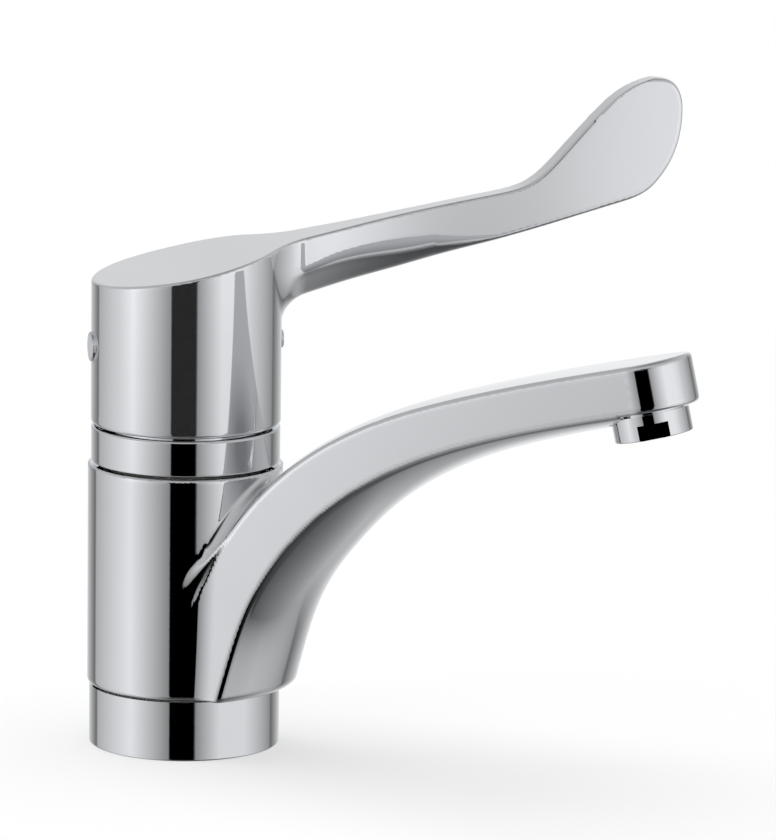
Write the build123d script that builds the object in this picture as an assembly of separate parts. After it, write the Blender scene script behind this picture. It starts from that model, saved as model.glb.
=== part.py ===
from build123d import *
import math
import os

# Single-lever kitchen mixer tap: swivelling arched spout, long upturned lever, spool cartridge inside.
# Millimetres. Origin on the tap's axis at deck level, +Z up, +X along the lever.

# Clearances
press_gap = 0.02
seat_gap = 0.1
running_gap = 0.05
moving_gap = 0.3
soft_gap = 0.15
seam_gap = 0.65

# The radii grow outwards from the cartridge, each by its own wall or step
cartridge_radius = 12.5
cartridge_seat_width = 2.1
riser_radius = 2.2
riser_inner_wall = 0.7
riser_outer_wall = 2.3
bearing_room = 1.0
chamber_depth = 3.2
sleeve_wall = 3.9
base_step = 0.6
collar_step = 0.9
cap_step = 0.8
cavity_radius = cartridge_radius + seat_gap
mixing_radius = cavity_radius - cartridge_seat_width
riser_circle = cavity_radius + riser_inner_wall + riser_radius
column_radius = riser_circle + riser_radius + riser_outer_wall
sleeve_bore = column_radius + bearing_room
chamber_radius = sleeve_bore + chamber_depth
sleeve_radius = chamber_radius + sleeve_wall
base_radius = sleeve_radius - base_step
collar_radius = sleeve_radius - collar_step
cap_radius = sleeve_radius - cap_step

# Base ring and gasket
base_ring_height = 17.3
base_ring_round = 0.6
base_ring_wall = 4.5
base_ring_lip = 3.3
foot_radius = base_radius - base_ring_wall - seat_gap
foot_height = base_ring_height - base_ring_lip
gasket_inner_margin = 1.3
gasket_outer_margin = 1.7
gasket_inner_radius = foot_radius + gasket_inner_margin
gasket_outer_radius = base_radius - gasket_outer_margin
gasket_thickness = 1.6

# Inlets and fixing
inlet_spacing = 19.0
inlet_thread_radius = 4.46
inlet_thread_length = 12.0
inlet_turn_floor = 1.2
inlet_turn_height = inlet_thread_length + inlet_turn_floor + riser_radius
stud_distance = 13.0
stud_thread_radius = 3.32
stud_thread_length = 12.0

# Spout sleeve and its bearings: the lower ones stand on the base ring, the upper ones hang from the top
sleeve_top = 82.05
sleeve_bottom_round = 1.3
sleeve_top_round = 0.5
thrust_washer_margin = 3.1
thrust_washer_thickness = 0.4
stop_pin_radius = 1.5
stop_pin_rise = 3.25
bearing_thickness = 1.45
bearing_length = 4.0
bearing_above_pin = 1.8
seal_beside_bearing = 3.5
upper_bearing_drop = 8.85
upper_seal_drop = 4.2
spout_seal_section = 2.6
chamber_above_seal = 4.2
chamber_below_seal = 5.0
thrust_washer_inner = sleeve_bore + moving_gap
thrust_washer_outer = sleeve_radius - thrust_washer_margin
thrust_washer_top = base_ring_height + thrust_washer_thickness
sleeve_low = thrust_washer_top + running_gap
stop_pin_height = sleeve_low + stop_pin_rise
lower_bearing_height = stop_pin_height + stop_pin_radius + bearing_above_pin
lower_seal_height = lower_bearing_height + bearing_length + seal_beside_bearing
upper_bearing_height = sleeve_top - upper_bearing_drop
upper_seal_height = upper_bearing_height - upper_seal_drop
chamber_low = lower_seal_height + chamber_above_seal
chamber_high = upper_seal_height - chamber_below_seal
stop_pin_proud = 2.6
stop_pin_embedded = 3.0
stop_angle = 180.0
spout_rest_angle = -40.0
spout_swing_half_angle = 70.0

# Valve body column
nut_thread_step = 1.1
nut_thread_radius = column_radius - nut_thread_step
outlet_port_radius = 2.4
outlet_port_above_seal = 5.4
outlet_port_height = lower_seal_height + outlet_port_above_seal
outlet_port_angles = (30, 150, 210, 330)
mixing_floor_drop = 3.2
mixing_floor = outlet_port_height - mixing_floor_drop
cavity_floor_rise = 2.8
cavity_floor = outlet_port_height + cavity_floor_rise

# Circlip, carrier washer and retaining nut
circlip_bite = 1.0
circlip_hold = 1.8
circlip_inner_radius = column_radius - circlip_bite
circlip_outer_radius = sleeve_bore + circlip_hold
circlip_thickness = 1.1
circlip_opening = 9.0
counterbore_margin = 0.7
sleeve_counterbore_radius = circlip_outer_radius + counterbore_margin
sleeve_counterbore_depth = 1.4
carrier_washer_outer = circlip_outer_radius + seat_gap
carrier_washer_thickness = 1.8
nut_width = 2.4
nut_radius = column_radius + nut_width
nut_height = 5.0
nut_notches = 6
nut_notch_radius = 1.8

# Spout arm, seen square to it: stations along its lower edge, its depth there and how far its top and
# its belly bulge. They are drawn for the usual outlet and stretch with it.
arm_station_reach = (20.4, 23.6, 27.2, 31.9, 38.5, 47.4, 60.8, 77.6, 97.4, 121.2, 145.2)
arm_station_height = (6.5, 17.7, 30.4, 43.9, 56.3, 67.9, 80.0, 90.4, 98.7, 105.9, 111.7)
arm_station_depth = (16.5, 16.5, 16.5, 16.5, 16.5, 16.4, 15.9, 14.8, 13.7, 13.3, 13.4)
arm_station_crown = (4.0, 4.0, 4.0, 3.9, 3.7, 3.2, 2.3, 1.4, 0.9, 0.5, 0.4)
arm_station_belly = (8.0, 7.9, 7.9, 7.9, 8.1, 8.3, 7.2, 5.8, 4.5, 3.7, 3.1)
arm_root_half_width = 22.5
arm_wall = 3.0
arm_hollow_first_station = 2
arm_hollow_last_station = 9
chamber_port_radius = 5.0
water_way_radius = 3.5

# Outlet
spout_reach = 149.4
outlet_height = 104.8
outlet_tilt = 13.4
outlet_past_arm = 4.2
outlet_below_arm = 6.9
aerator_thread_radius = 9.9
aerator_collar_step = 1.1
aerator_collar_radius = aerator_thread_radius + aerator_collar_step
nose_margin = 2.6
nose_radius = aerator_collar_radius + nose_margin
arm_tip_half_width = nose_radius
nose_forward = 0.8
nose_roof = 1.4
aerator_collar_height = 6.9
aerator_flat_depth = 0.9
aerator_flat_height = 4.3
aerator_flat_angle = -62.0
aerator_rim_round = 0.4
aerator_thread_length = 4.5
aerator_wall = 1.4
aerator_bore = aerator_thread_radius - aerator_wall
aerator_lip = 1.2
aerator_lip_width = 0.6
aerator_lip_bore = aerator_bore - aerator_lip_width
aerator_washer_thickness = 1.2
aerator_washer_overlap = 1.7
aerator_washer_bore = aerator_bore - aerator_washer_overlap
insert_height = 8.6
insert_rings = (3.0, 6.0)
insert_ring_thickness = 0.9
insert_spokes = 8
insert_spoke_thickness = 0.8
mesh_thickness = 0.6
mesh_hole = 1.4
mesh_pitch = 2.2

# Turning collar ring and dome
collar_height = 10.4
collar_low = sleeve_top + seam_gap
collar_top = collar_low + collar_height
collar_flange_thickness = 2.4
collar_wall = 4.2
collar_edge_round = 0.7
dome_seat_width = 1.5
dome_flange_thickness = 1.2
dome_wall = 1.6
dome_mouth_radius = 13.6
dome_gap = 0.8

# Handle hinge and link
lift_angle = 14.0
hinge_inset = 3.1
hinge_distance = cap_radius - hinge_inset
hinge_above_collar = 2.7
hinge_height = collar_top + hinge_above_collar
dome_above_hinge = 13.7
dome_top = hinge_height + dome_above_hinge
hinge_pin_radius = 1.2
hinge_pin_half_length = 6.5
lug_half_width = 3.0
lug_radius = 1.8
lug_length = 3.2
lug_front = hinge_distance - lug_length
link_pin_radius = 1.5
link_pin_half_length = 8.0

# Handle cap, and the heights of its top above its lower edge: over the axis, and a margin past its wall
cap_top_margin = 2.7
cap_wall = 3.0
cap_roof = 3.2
cap_edge_round = 1.2
cap_back_height = 41.03
cap_middle_height = 46.55
cap_front_height = 54.06

# Lever, seen square to it: stations from the cap outwards, with the heights above the cap's lower edge
# of its top, of the edge under its flat side and of its keel, and half its width at the top and the keel
lever_station_reach = (17.0, 32.0, 44.0, 60.0, 80.0, 101.0)
lever_top_height = (50.45, 53.75, 56.05, 59.25, 63.05, 68.35)
lever_side_height = (38.85, 43.85, 47.35, 50.35, 53.15, 57.05)
lever_keel_height = (31.15, 36.15, 39.55, 43.65, 48.95, 54.25)
lever_half_width = (9.6, 8.2, 6.2, 4.3, 3.8, 4.0)
keel_half_width = (4.0, 3.0, 2.2, 1.8, 2.0, 2.9)

# Paddle at the lever's end: reach and height above the cap's lower edge
paddle_root_low = (99.5, 53.85)
paddle_root_high = (99.5, 67.55)
paddle_heel = (132.0, 62.95)
paddle_front = (141.0, 72.25)
paddle_tip = (144.9, 87.05)
paddle_tip_shoulder = (142.9, 94.95)
paddle_crest = (136.2, 97.45)
paddle_crest_shoulder = (131.8, 96.15)
paddle_back_high = (127.4, 93.85)
paddle_back_low = (110.0, 76.95)
paddle_hollow = (104.6, 71.25)
paddle_root_half_width = 4.0
paddle_tip_half_width = 2.6

# Yoke, grub screws and plugs
yoke_above_dome = 3.5
yoke_bottom = dome_top + yoke_above_dome
yoke_thickness = 7.6
cheek_inner = 4.6
cheek_outer = 8.0
cheek_back = 6.0
cheek_front = 5.0
cheek_below_pin = 3.5
yoke_window_radius = 4.0
yoke_window_margin = 8.7
yoke_window_angles = (45, 135, 225, 315)
grub_radius = 1.95
grub_bite = 2.4
grub_socket_radius = 1.15
grub_socket_depth = 2.0
rear_plug_radius = 4.3
rear_plug_rise = 3.4
rear_plug_height = yoke_bottom + rear_plug_rise
front_plug_radius = 2.75
front_plug_rise = 4.4
front_plug_height = yoke_bottom + front_plug_rise
plug_depth = 1.4
plug_proud = 0.8
plug_round = 0.4

# Cartridge
spool_radius = 8.04
spool_gap = 0.06
cartridge_bore = spool_radius + spool_gap
cartridge_drop = 6.05
cartridge_top = sleeve_top - cartridge_drop
cartridge_seal_section = 1.7
cartridge_seal_rise = 3.6
cartridge_seal_drop = 4.5
port_drop = 18.0
port_height = cartridge_top - port_drop
port_radius = 2.2
port_seal_radius = 4.0
port_seal_thickness = 1.6
cartridge_cap_thickness = 8.0
clip_thickness = 1.6
clip_arm_inner = 9.4
clip_arm_outer = 11.6
clip_past_cartridge = 2.0
clip_reach = cartridge_radius + clip_past_cartridge
clip_bridge = 1.6
spool_below_port = 12.0
spool_bottom = port_height - spool_below_port
spool_length = 19.0
spool_bore = 5.0
spool_bore_depth = 14.0
spool_port_radius = 2.0
spool_seal_section = 1.6
spool_seal_rise = 2.0
spool_seal_drop = 2.8
rod_radius = 4.0
rod_above_pin = 3.7
stem_seal_section = 1.7
stem_seal_rise = 4.0

# What follows from the sizes above
cartridge_seal_heights = (cavity_floor + cartridge_seal_rise, cartridge_top - cartridge_seal_drop)
spool_seal_heights = (spool_bottom + spool_seal_rise, spool_bottom + spool_length - spool_seal_drop)
stem_seal_height = cartridge_top + stem_seal_rise
circlip_low = sleeve_top - sleeve_counterbore_depth + moving_gap
washer_low = circlip_low + circlip_thickness
washer_top = washer_low + carrier_washer_thickness
flange_low = washer_top + seat_gap
flange_high = flange_low + collar_flange_thickness
nut_low = flange_high + 2 * seat_gap
nut_high = nut_low + nut_height
collar_bore = collar_radius - collar_wall
dome_seat_height = nut_high + moving_gap
dome_seat_radius = collar_bore + dome_seat_width
cap_low = collar_top + seam_gap
cap_bore = cap_radius - cap_wall
hinge_x = -hinge_distance
lift_travel = hinge_distance * math.sin(math.radians(lift_angle))
link_pin_shift = hinge_distance * (1 - math.cos(math.radians(lift_angle)))
spool_port_height = port_height - lift_travel
rod_top = hinge_height + rod_above_pin
clip_low = cartridge_top + cartridge_cap_thickness
yoke_radius = cap_bore - seat_gap
yoke_window_circle = yoke_radius - yoke_window_margin
yoke_top = yoke_bottom + yoke_thickness
collar_seat = aerator_collar_height
washer_seat = aerator_collar_height + aerator_thread_length
nose_seat = washer_seat + aerator_washer_thickness

# How far a cut runs past a face, and a length longer than the whole tap
past = 1.0
well_past = 200.0
upright = (Align.CENTER, Align.CENTER, Align.MIN)


def disc(radius, low, high):
    """A plain round bar about the tap's axis."""
    return Pos(0, 0, low) * Cylinder(radius, high - low, align=upright)


def ring(inner, outer, low, high):
    """A plain ring about the tap's axis."""
    return disc(outer, low, high) - disc(inner, low - past, high + past)


def block(x_range, y_range, z_range):
    """A box between two limits each way."""
    sizes = [high - low for low, high in (x_range, y_range, z_range)]
    centre = [(high + low) / 2 for low, high in (x_range, y_range, z_range)]
    return Pos(*centre) * Box(*sizes)


def bar(start, end, radius):
    """A round bar from one point to another."""
    first = Vector(*start)
    way = Vector(*end) - first
    return Plane(origin=first, z_dir=way.normalized()) * Cylinder(radius, way.length, align=upright)


def spoke(angle, inner, outer, height, radius):
    """A round bar that points away from the axis."""
    x = math.cos(math.radians(angle))
    y = math.sin(math.radians(angle))
    return bar((inner * x, inner * y, height), (outer * x, outer * y, height), radius)


def upright_bar(x, y, low, high, radius):
    """A round bar that stands beside the tap's axis."""
    return Pos(x, y, low) * Cylinder(radius, high - low, align=upright)


def band(middle, half):
    """The limits of a stretch about its middle."""
    return (middle - half, middle + half)


def outer_circles(body, radius):
    """The circular edges on a body's outside, from the bottom up."""
    circles = body.edges().filter_by(GeomType.CIRCLE)
    return circles.filter_by(lambda edge: edge.radius > radius - press_gap).sort_by(Axis.Z)


def cross_bar(x, height, half_length, radius):
    """A round bar along Y."""
    return bar((x, -half_length, height), (x, half_length, height), radius)


def seal_ring(bottom, wall, height):
    """A rubber ring of round section that fills the space between a groove's bottom and a wall."""
    inner = bottom + running_gap
    outer = wall - running_gap
    return Pos(0, 0, height) * Torus((inner + outer) / 2, (outer - inner) / 2)


def groove(bottom, outside, height, width):
    """The ring cut from a bar for a seal or a bearing."""
    return ring(bottom, outside + past, height - width / 2, height + width / 2)


def swung(shape):
    """Turns a piece that is drawn along +X to where the spout rests."""
    return Rot(0, 0, spout_rest_angle) * shape


def at_outlet(shape):
    """Puts a piece that is drawn upwards from the outlet's rim in its place on the spout."""
    tilt = math.radians(outlet_tilt)
    plane = Plane(
        origin=(spout_reach, 0, outlet_height),
        x_dir=(math.cos(tilt), 0, math.sin(tilt)),
        z_dir=(-math.sin(tilt), 0, math.cos(tilt)),
    )
    return plane * shape


def outlet_point(forward, up):
    """A point in the spout's middle plane, given from the outlet's rim."""
    tilt = math.radians(outlet_tilt)
    x = spout_reach + forward * math.cos(tilt) - up * math.sin(tilt)
    z = outlet_height + forward * math.sin(tilt) + up * math.cos(tilt)
    return (x, 0, z)


# Fixed pieces


def make_base_ring():
    body = ring(foot_radius + seat_gap, base_radius, 0, base_ring_height)
    body = body + ring(column_radius + seat_gap, foot_radius + past, foot_height, base_ring_height)
    body = fillet(outer_circles(body, base_radius)[0], base_ring_round)
    gasket_room_inner = gasket_inner_radius - soft_gap
    gasket_room_outer = gasket_outer_radius + soft_gap
    return body - ring(gasket_room_inner, gasket_room_outer, -past, gasket_thickness)


def make_base_gasket():
    return ring(gasket_inner_radius, gasket_outer_radius, 0, gasket_thickness)


def seal_groove_bottom(outside, section):
    """How deep a seal's groove goes into a bar of this radius."""
    return outside - section + 2 * running_gap


def make_valve_body():
    body = disc(foot_radius, 0, foot_height)
    body = body + disc(column_radius, 0, nut_low)
    body = body + disc(nut_thread_radius, 0, nut_high)
    body = body - disc(cavity_radius, cavity_floor, nut_high + past)
    body = body - disc(mixing_radius, mixing_floor, cavity_floor + past)
    for side in (1, -1):
        inlet_y = side * inlet_spacing / 2
        riser_y = side * riser_circle
        body = body - upright_bar(0, inlet_y, -past, inlet_thread_length, inlet_thread_radius)
        body = body - upright_bar(0, inlet_y, 0, inlet_turn_height, riser_radius)
        body = body - bar((0, inlet_y, inlet_turn_height), (0, riser_y, inlet_turn_height), riser_radius)
        body = body - Pos(0, inlet_y, inlet_turn_height) * Sphere(riser_radius)
        body = body - Pos(0, riser_y, inlet_turn_height) * Sphere(riser_radius)
        body = body - upright_bar(0, riser_y, inlet_turn_height, port_height, riser_radius)
        body = body - Pos(0, riser_y, port_height) * Sphere(riser_radius)
        body = body - bar((0, riser_y, port_height), (0, side * cartridge_bore, port_height), riser_radius)
    body = body - upright_bar(-stud_distance, 0, -past, stud_thread_length, stud_thread_radius)
    for angle in outlet_port_angles:
        body = body - spoke(angle, 0, column_radius + past, outlet_port_height, outlet_port_radius)
    seal_bottom = seal_groove_bottom(sleeve_bore, spout_seal_section)
    for height in (lower_seal_height, upper_seal_height):
        body = body - groove(seal_bottom, column_radius, height, spout_seal_section + 2 * soft_gap)
    bearing_bottom = sleeve_bore - running_gap - bearing_thickness - seat_gap
    for height in (lower_bearing_height, upper_bearing_height):
        middle = height + bearing_length / 2
        body = body - groove(bearing_bottom, column_radius, middle, bearing_length + 2 * seat_gap)
    circlip_middle = circlip_low + circlip_thickness / 2
    circlip_bottom = circlip_inner_radius - seat_gap
    body = body - groove(circlip_bottom, column_radius, circlip_middle, circlip_thickness + 2 * running_gap)
    pin_start = column_radius - stop_pin_embedded
    pin_hole_radius = stop_pin_radius + press_gap
    body = body - spoke(stop_angle, pin_start, column_radius + past, stop_pin_height, pin_hole_radius)
    return body - clip_shape(seat_gap, column_radius + past)


def make_thrust_washer():
    return ring(thrust_washer_inner, thrust_washer_outer, base_ring_height, thrust_washer_top)


def make_bearing_ring(height):
    outer = sleeve_bore - running_gap
    return ring(outer - bearing_thickness, outer, height, height + bearing_length)


def make_spout_seal(height):
    return seal_ring(seal_groove_bottom(sleeve_bore, spout_seal_section), sleeve_bore, height)


def make_circlip():
    body = ring(circlip_inner_radius, circlip_outer_radius, circlip_low, washer_low)
    half = circlip_opening / 2
    return body - block((0, well_past), band(0, half), (0, well_past))


def make_carrier_washer():
    return ring(column_radius + seat_gap, carrier_washer_outer, washer_low, washer_top)


def make_retaining_nut():
    body = ring(nut_thread_radius + running_gap, nut_radius, nut_low, nut_high)
    for index in range(nut_notches):
        turn = Rot(0, 0, index * 360 / nut_notches)
        body = body - turn * upright_bar(nut_radius, 0, nut_low - past, nut_high + past, nut_notch_radius)
    return body


def make_swivel_stop_pin():
    inner = column_radius - stop_pin_embedded
    return spoke(stop_angle, inner, column_radius + stop_pin_proud, stop_pin_height, stop_pin_radius)


# Cartridge, fixed in the valve body


def port_seal_room(side, gap):
    """Where one port seal lies, in the side of the cartridge sleeve."""
    inner = cartridge_radius - port_seal_thickness
    room = bar((0, side * inner, port_height), (0, side * well_past, port_height), port_seal_radius + gap)
    return room


def make_cartridge_sleeve():
    body = ring(cartridge_bore, cartridge_radius, cavity_floor, cartridge_top)
    body = body - cross_bar(0, port_height, cartridge_radius + past, port_radius)
    for side in (1, -1):
        body = body - port_seal_room(side, soft_gap)
    bottom = seal_groove_bottom(cavity_radius, cartridge_seal_section)
    for height in cartridge_seal_heights:
        body = body - groove(bottom, cartridge_radius, height, cartridge_seal_section + 2 * soft_gap)
    return body


def make_port_seals():
    seals = []
    for side in (1, -1):
        seal = port_seal_room(side, 0) & disc(cavity_radius - running_gap, cavity_floor, cartridge_top)
        seals.append(seal - cross_bar(0, port_height, cartridge_radius + past, port_radius))
    return Compound(children=[solid for seal in seals for solid in seal.solids()])


def make_cartridge_seals():
    bottom = seal_groove_bottom(cavity_radius, cartridge_seal_section)
    rings = [seal_ring(bottom, cavity_radius, height) for height in cartridge_seal_heights]
    return Compound(children=rings)


def stem_seal_wall():
    """The radius of the groove that holds the stem seal in the cartridge cap."""
    return rod_radius + stem_seal_section + 2 * running_gap


def make_cartridge_cap():
    body = ring(rod_radius + running_gap, cartridge_radius, cartridge_top, clip_low)
    half = stem_seal_section / 2 + soft_gap
    return body - disc(stem_seal_wall(), stem_seal_height - half, stem_seal_height + half)


def make_stem_seal():
    return seal_ring(rod_radius, stem_seal_wall(), stem_seal_height)


def clip_shape(gap, front):
    """The U of the retaining clip, or with a gap the slots that it slides in from the front."""
    z_range = (clip_low, clip_low + clip_thickness + gap)
    outside = clip_arm_outer + gap
    inside = clip_arm_inner - gap
    shape = block((-clip_reach - gap, front), band(0, outside), z_range)
    return shape - block((-well_past, clip_reach - clip_bridge - gap), band(0, inside), (0, well_past))


def make_retaining_clip():
    return clip_shape(0, clip_reach)


# Spout and what turns with it


def stretched(stations, index, end):
    """One station's place along a row that starts where it is drawn and stretches to reach an end."""
    first = stations[0]
    return first + (stations[index] - first) * (end - first) / (stations[-1] - first)


def arm_reach(index):
    """How far out one station of the arm's lower edge stands."""
    return stretched(arm_station_reach, index, spout_reach - outlet_past_arm)


def arm_height(index):
    """How high one station of the arm's lower edge stands."""
    return stretched(arm_station_height, index, outlet_height + outlet_below_arm)


def arm_half_width(index):
    """Half the arm's width, which narrows evenly from the root to the nose."""
    share = (arm_reach(index) - arm_reach(0)) / (arm_reach(-1) - arm_reach(0))
    return arm_root_half_width + (arm_tip_half_width - arm_root_half_width) * share


def arm_slope(index):
    """The slope of the arm's lower edge at one station, in degrees."""
    last = len(arm_station_reach) - 1
    if index == last:
        return outlet_tilt
    before = max(index - 1, 0)
    run = arm_reach(index + 1) - arm_reach(before)
    rise = arm_height(index + 1) - arm_height(before)
    return math.degrees(math.atan2(rise, run))


def belly_radius(index):
    """The radius of the round belly at one station, from the arm's width and how far the belly bulges."""
    bulge = arm_station_belly[index]
    return (arm_half_width(index) ** 2 + bulge ** 2) / (2 * bulge)


def arm_section(index, wall):
    """One section square to the arm, inset by a wall: flat sides, a crowned top and a round belly."""
    half = arm_half_width(index) - wall
    top = arm_station_depth[index] - wall
    keel = wall - arm_station_belly[index]
    belly_centre = belly_radius(index) - arm_station_belly[index]
    side = belly_centre - math.sqrt((belly_radius(index) - wall) ** 2 - half ** 2)
    slope = math.radians(arm_slope(index))
    plane = Plane(
        origin=(arm_reach(index), 0, arm_height(index)),
        x_dir=(0, 1, 0),
        z_dir=(math.cos(slope), 0, math.sin(slope)),
    )
    outline = [
        ThreePointArc((-half, side), (0, keel), (half, side)),
        Line((half, side), (half, top)),
        ThreePointArc((half, top), (0, top + arm_station_crown[index]), (-half, top)),
        Line((-half, top), (-half, side)),
    ]
    return plane * make_face(outline)


def arm_middle(index):
    """The middle of one section of the arm."""
    slope = math.radians(arm_slope(index))
    up = (arm_station_depth[index] - arm_station_belly[index]) / 2
    x = arm_reach(index) - up * math.sin(slope)
    z = arm_height(index) + up * math.cos(slope)
    return (x, 0, z)


def nose_heights():
    """The nose's flat underside and its top, measured up from the outlet's rim."""
    tilt = math.radians(outlet_tilt)
    low = outlet_past_arm * math.sin(tilt) + outlet_below_arm * math.cos(tilt)
    return low, low + arm_station_depth[-1]


def nose_back():
    """How far behind the outlet's axis the arm's last section stands."""
    tilt = math.radians(outlet_tilt)
    return outlet_below_arm * math.sin(tilt) - outlet_past_arm * math.cos(tilt)


def make_nose():
    low, high = nose_heights()
    round_end = Pos(nose_forward, 0, low) * Cylinder(nose_radius, high - low, align=upright)
    neck = block((nose_back(), nose_forward), band(0, nose_radius), (low, high))
    return at_outlet(round_end + neck)


def water_way():
    """The port from the sleeve's chamber, the hollow arm, and the channel on to the aerator."""
    chamber_middle = (chamber_low + chamber_high) / 2
    inside = chamber_radius - chamber_port_radius
    outside = sleeve_radius + arm_wall
    port = bar((inside, 0, chamber_middle), (outside, 0, chamber_middle), chamber_port_radius)
    stations = range(arm_hollow_first_station, arm_hollow_last_station + 1)
    hollow = loft([arm_section(index, arm_wall) for index in stations])
    hollow = hollow - disc(sleeve_radius, 0, well_past)
    channel_start = arm_middle(arm_hollow_last_station - 1)
    channel_turn = arm_middle(arm_hollow_last_station)
    channel_end = outlet_point(0, nose_seat + water_way_radius + seat_gap)
    channel = [
        bar(channel_start, channel_turn, water_way_radius),
        Pos(*channel_turn) * Sphere(water_way_radius),
        bar(channel_turn, channel_end, water_way_radius),
        Pos(*channel_end) * Sphere(water_way_radius),
    ]
    return [port, hollow, *channel]


def stop_groove():
    """The groove round the sleeve's bore that the stop pin runs in, as long as the swing."""
    margin = math.degrees(math.asin((stop_pin_radius + seat_gap) / sleeve_bore))
    half_angle = spout_swing_half_angle + margin
    low, high = band(stop_pin_height, stop_pin_radius + moving_gap)
    outer = column_radius + stop_pin_proud + moving_gap
    turns = [math.radians(stop_angle + part * half_angle) for part in (-1, -0.5, 0, 0.5, 1)]
    corners = [(well_past * math.cos(turn), well_past * math.sin(turn)) for turn in turns]
    sector = make_face(Polyline((0, 0), *corners, close=True))
    return ring(sleeve_bore - past, outer, low, high) & Pos(0, 0, low) * extrude(sector, amount=high - low)


def make_spout():
    sleeve = disc(sleeve_radius, sleeve_low, sleeve_top)
    sleeve = fillet(sleeve.edges().sort_by(Axis.Z)[0], sleeve_bottom_round)
    sleeve = fillet(sleeve.edges().sort_by(Axis.Z)[-1], sleeve_top_round)
    arm = loft([arm_section(index, 0) for index in range(len(arm_station_reach))])
    arm = arm - block(band(0, well_past), band(0, well_past), (-well_past, sleeve_low))
    body = sleeve + arm + make_nose()
    body = body - disc(sleeve_bore, 0, sleeve_top + past)
    body = body - disc(chamber_radius, chamber_low, chamber_high)
    body = body - disc(sleeve_counterbore_radius, sleeve_top - sleeve_counterbore_depth, sleeve_top + past)
    body = body - stop_groove()
    collar_room = aerator_collar_radius + moving_gap
    body = body - at_outlet(Cylinder(collar_room, collar_seat, align=upright))
    body = body - at_outlet(Cylinder(aerator_thread_radius + running_gap, nose_seat, align=upright))
    roof = nose_heights()[1] - nose_roof
    body = body - at_outlet(Cylinder(aerator_washer_bore, roof, align=upright))
    for piece in water_way():
        body = body - piece
    return swung(body)


def make_aerator_housing():
    body = Cylinder(aerator_collar_radius, collar_seat, align=upright)
    body = fillet(body.edges().sort_by(Axis.Z)[0], aerator_rim_round)
    flat = aerator_collar_radius - aerator_flat_depth
    for side in (1, -1):
        cut = block((flat, well_past), band(0, well_past), (-past, aerator_flat_height))
        turn = aerator_flat_angle if side > 0 else aerator_flat_angle + 180
        body = body - Rot(0, 0, turn) * cut
    body = body + Cylinder(aerator_thread_radius, washer_seat, align=upright)
    body = body - Cylinder(aerator_lip_bore, washer_seat + past, align=upright)
    body = body - Pos(0, 0, aerator_lip) * Cylinder(aerator_bore, washer_seat, align=upright)
    return swung(at_outlet(body))


def make_aerator_insert():
    low = aerator_lip
    outer = aerator_bore - seat_gap
    body = ring(outer - insert_ring_thickness, outer, low, low + insert_height)
    for radius in insert_rings:
        body = body + ring(radius - insert_ring_thickness, radius, low, low + insert_height)
    half = insert_spoke_thickness / 2
    inner = insert_rings[0] - insert_ring_thickness / 2
    for index in range(insert_spokes):
        fin = block((inner, outer - insert_ring_thickness / 2), band(0, half), (low, low + insert_height))
        body = body + Rot(0, 0, index * 360 / insert_spokes) * fin
    return swung(at_outlet(body))


def make_aerator_mesh():
    low = aerator_lip + insert_height
    outer = aerator_bore - seat_gap
    body = disc(outer, low, low + mesh_thickness)
    count = int(outer / mesh_pitch)
    half = mesh_hole / 2
    through = (low - past, low + mesh_thickness + past)
    for column in range(-count, count + 1):
        for row in range(-count, count + 1):
            x = column * mesh_pitch
            y = row * mesh_pitch
            if math.hypot(x, y) + mesh_hole < outer:
                body = body - block(band(x, half), band(y, half), through)
    return swung(at_outlet(body))


def make_aerator_washer():
    outer = aerator_thread_radius - seat_gap
    return swung(at_outlet(ring(aerator_washer_bore, outer, washer_seat, nose_seat)))


# Carrier: turns with the handle


def make_collar_ring():
    body = ring(collar_bore, collar_radius, collar_low, collar_top)
    body = body + ring(column_radius + running_gap, collar_radius - past, flange_low, flange_high)
    washer_room = disc(carrier_washer_outer + 2 * moving_gap, collar_low - past, flange_low)
    body = body - washer_room
    outer_edges = outer_circles(body, collar_radius)
    body = fillet([outer_edges[0], outer_edges[-1]], collar_edge_round)
    lug_back = hinge_distance + hinge_pin_radius
    lug_top = hinge_height + lug_radius
    lug = block((-lug_back, -lug_front), band(0, lug_half_width), (flange_low, lug_top))
    lug = lug + cross_bar(hinge_x, hinge_height, lug_half_width, lug_radius)
    nut_room = disc(nut_radius + moving_gap, flange_high, nut_high + moving_gap)
    body = body + (lug - nut_room)
    body = body - (disc(dome_seat_radius, dome_seat_height, collar_top + past) - lug)
    return body - cross_bar(hinge_x, hinge_height, well_past, hinge_pin_radius + press_gap)


def dome_profile(offset):
    """The dome's round side, an arc about the hinge that the swinging cap clears, with its ends."""
    arc_radius = cap_bore + hinge_distance - dome_gap - offset

    def side(height):
        return math.sqrt(arc_radius ** 2 - (height - hinge_height) ** 2) - hinge_distance

    middle = (dome_seat_height + dome_top) / 2
    return side(dome_seat_height), side(middle), side(dome_top), middle


def dome_solid(offset, top):
    """A solid of the dome's shape, drawn in by an offset."""
    low_side, middle_side, top_side, middle = dome_profile(offset)
    outline = [
        Line((0, dome_seat_height), (low_side, dome_seat_height)),
        ThreePointArc((low_side, dome_seat_height), (middle_side, middle), (top_side, dome_top)),
        Line((top_side, dome_top), (0, dome_top)),
        Line((0, dome_top), (0, dome_seat_height)),
    ]
    solid = revolve(Plane.XZ * make_face(outline), axis=Axis.Z)
    return solid & disc(well_past, dome_seat_height - past, top)


def make_dome():
    body = dome_solid(0, dome_top)
    flange = disc(dome_seat_radius - seat_gap, dome_seat_height, dome_seat_height + dome_flange_thickness)
    body = body + flange
    body = body - dome_solid(dome_wall, dome_top - dome_wall)
    body = body - disc(dome_mouth_radius, dome_seat_height, dome_top + past)
    half = hinge_pin_half_length + moving_gap
    lug_top = hinge_height + lug_radius + moving_gap
    return body - block((-well_past, -lug_front + moving_gap), band(0, half), (0, lug_top))


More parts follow.
